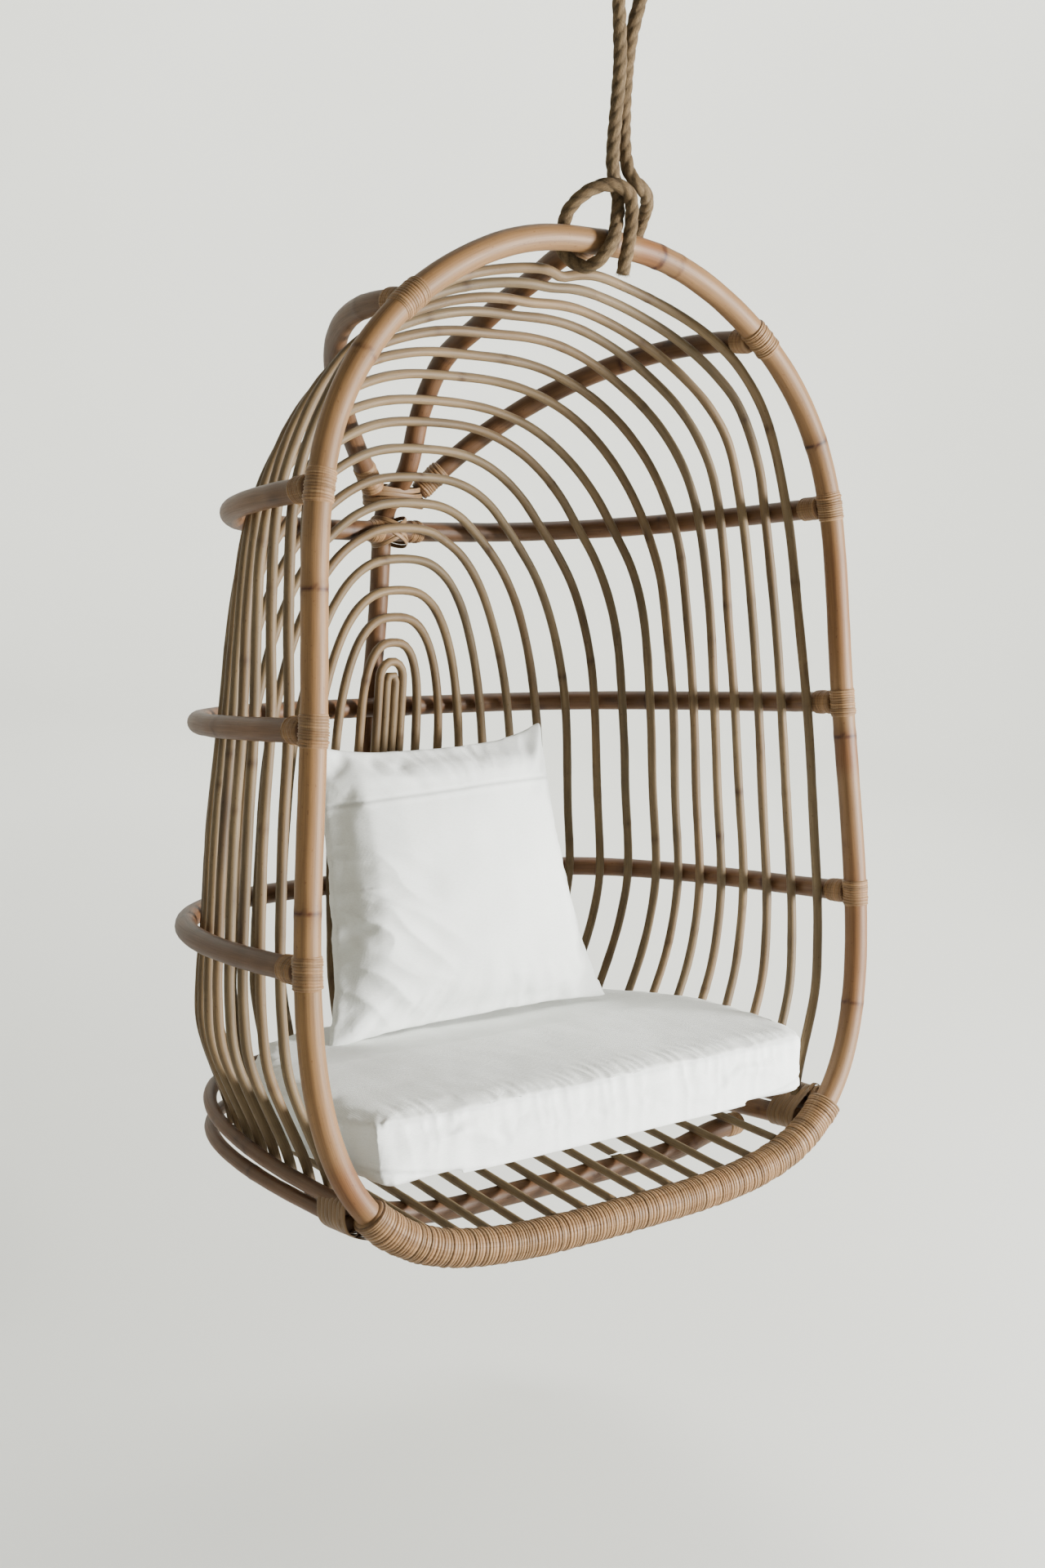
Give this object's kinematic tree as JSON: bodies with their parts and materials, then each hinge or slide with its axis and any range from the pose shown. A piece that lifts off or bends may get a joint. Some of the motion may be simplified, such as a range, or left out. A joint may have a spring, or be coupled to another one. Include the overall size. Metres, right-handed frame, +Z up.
{
  "type": "hanging egg chair",
  "caption": "Hanging egg chair: an open cage of bent rattan with a wrapped front rail, a loose seat cushion and pillow, on a knotted rope below a swivelling ceiling plate.",
  "frame": {"origin": "centre of the ceiling plate's flat top face", "axes": "+Z up along the swivel's axis, -Y out of the chair's opening, +X to the right of someone looking into it"},
  "size_m": [0.9116, 0.6966, 1.6776],
  "materials": {
    "pole": "satin",
    "dark_pole": "satin",
    "cane": "satin",
    "peel": "satin",
    "seat_cotton": "matte",
    "pillow_cotton": "matte",
    "jute": "matte",
    "black_metal": "satin",
    "steel": "satin"
  },
  "bodies": {
    "mounting": {"ceiling_plate": "black_metal", "ceiling_screw_1": "steel", "ceiling_screw_2": "steel", "ceiling_screw_3": "steel", "ceiling_screw_4": "steel", "swivel_housing": "black_metal"},
    "swivel": {"swivel_eye": "steel"},
    "hook": {"snap_hook": "steel"},
    "gate": {"hook_gate": "steel"},
    "chair": {"rope": "jute", "front_hoop": "pole", "front_rail_wrap": "peel", "upper_band": "dark_pole", "middle_band": "dark_pole", "lower_band": "dark_pole", "base_rail_upper": "dark_pole", "base_rail_lower": "dark_pole", "hairpin_cane": "cane", "arch_cane_01": "cane", "arch_cane_02": "cane", "arch_cane_03": "cane", "arch_cane_04": "cane", "arch_cane_05": "cane", "arch_cane_06": "cane", "arch_cane_07": "cane", "arch_cane_08": "cane", "arch_cane_09": "cane", "arch_cane_10": "cane", "arch_cane_11": "cane", "arch_cane_12": "cane", "arch_cane_13": "cane", "arch_cane_14": "cane", "arch_cane_15": "cane", "arch_cane_16": "cane", "arch_cane_17": "cane", "arch_cane_18": "cane", "spine": "dark_pole", "left_rib": "dark_pole", "right_rib": "dark_pole", "slat_01": "cane", "slat_02": "cane", "slat_03": "cane", "slat_04": "cane", "slat_05": "cane", "slat_06": "cane", "slat_07": "cane", "slat_08": "cane", "slat_09": "cane", "slat_10": "cane", "slat_11": "cane", "slat_12": "cane", "slat_13": "cane", "front_cross_bar": "dark_pole", "rear_cross_bar": "dark_pole", "left_seat_rail": "dark_pole", "right_seat_rail": "dark_pole"},
    "cushion": {"seat_cushion": "seat_cotton"},
    "pillow_body": {"pillow": "pillow_cotton"}
  },
  "joints": [
    {"name": "swivel_spin", "type": "hinge", "parent": "mounting", "child": "swivel", "pos_m": [0, 0, 0], "axis": [0, 0, 1], "continuous": true},
    {"name": "fore_aft_swing", "type": "hinge", "parent": "swivel", "child": "hook", "pos_m": [0, 0, -0.075], "axis": [1, 0, 0], "range_deg": [-25, 25]},
    {"name": "gate_hinge", "type": "hinge", "parent": "hook", "child": "gate", "pos_m": [0, -0.016, -0.0908], "axis": [1, 0, 0], "range_deg": [0, 25]},
    {"name": "side_swing", "type": "hinge", "parent": "hook", "child": "chair", "pos_m": [0, 0, -0.1571], "axis": [0, 1, 0], "range_deg": [-20, 20]},
    {"name": "cushion_slide", "type": "slide", "parent": "chair", "child": "cushion", "axis": [0, -0.9781, 0.2079], "range_m": [0, 0.55]},
    {"name": "pillow_slide", "type": "slide", "parent": "cushion", "child": "pillow_body", "axis": [0, -0.9781, 0.2079], "range_m": [0, 0.55]}
  ]
}
